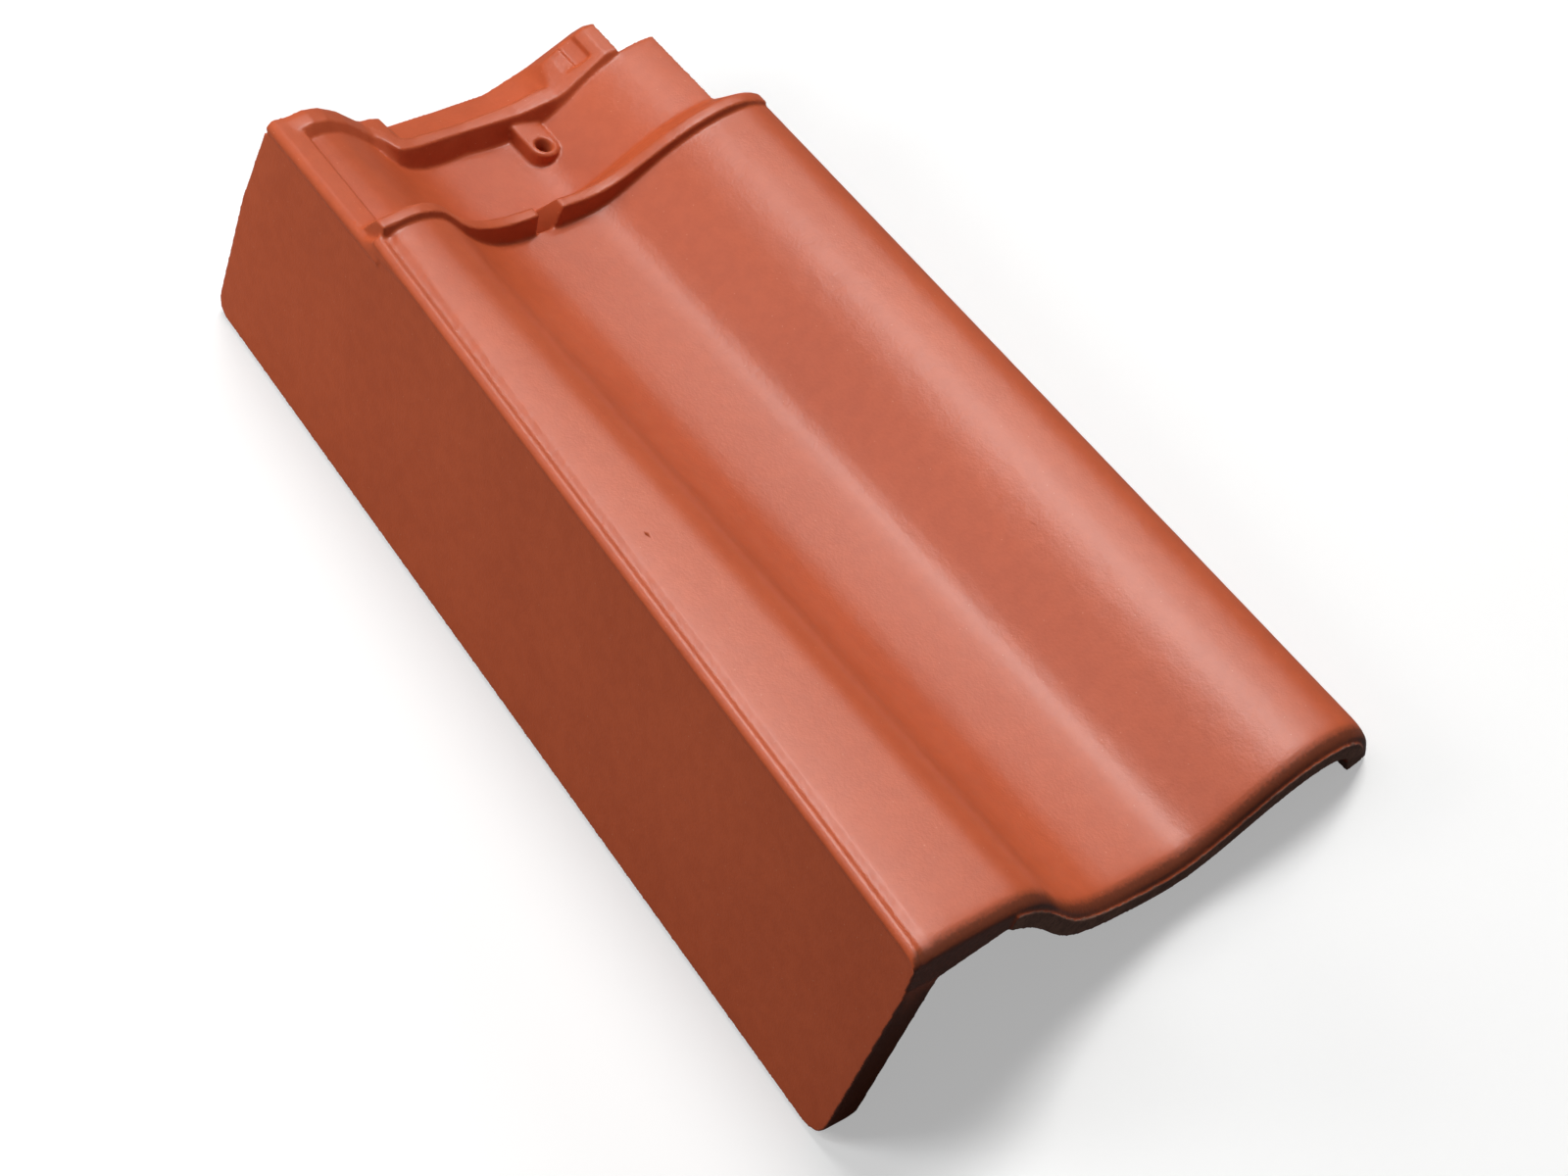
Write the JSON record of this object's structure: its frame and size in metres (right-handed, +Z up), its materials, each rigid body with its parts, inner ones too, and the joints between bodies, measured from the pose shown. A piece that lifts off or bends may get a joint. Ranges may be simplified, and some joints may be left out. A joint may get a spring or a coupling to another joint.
{
  "type": "verge tile",
  "caption": "Left-hand interlocking waved clay verge tile with a deep side flap, a stepped head lap with ribs and nail boss.",
  "frame": {"origin": "centre of the bounding box in plan, on the level floor that the tile rests on", "axes": "+Z up; +Y up the slope of the tile, from its foot to its head; +X across, away from the flap. The tile lies as it rests unheld, on the lower edge of the flap and the right side of its foot"},
  "size_m": [0.2574, 0.4584, 0.1133],
  "materials": {
    "fired_clay": "satin terracotta engobe over fired clay, bare grey-brown clay on the underside"
  },
  "bodies": {
    "root": {"verge_tile": "fired_clay"}
  },
  "joints": []
}
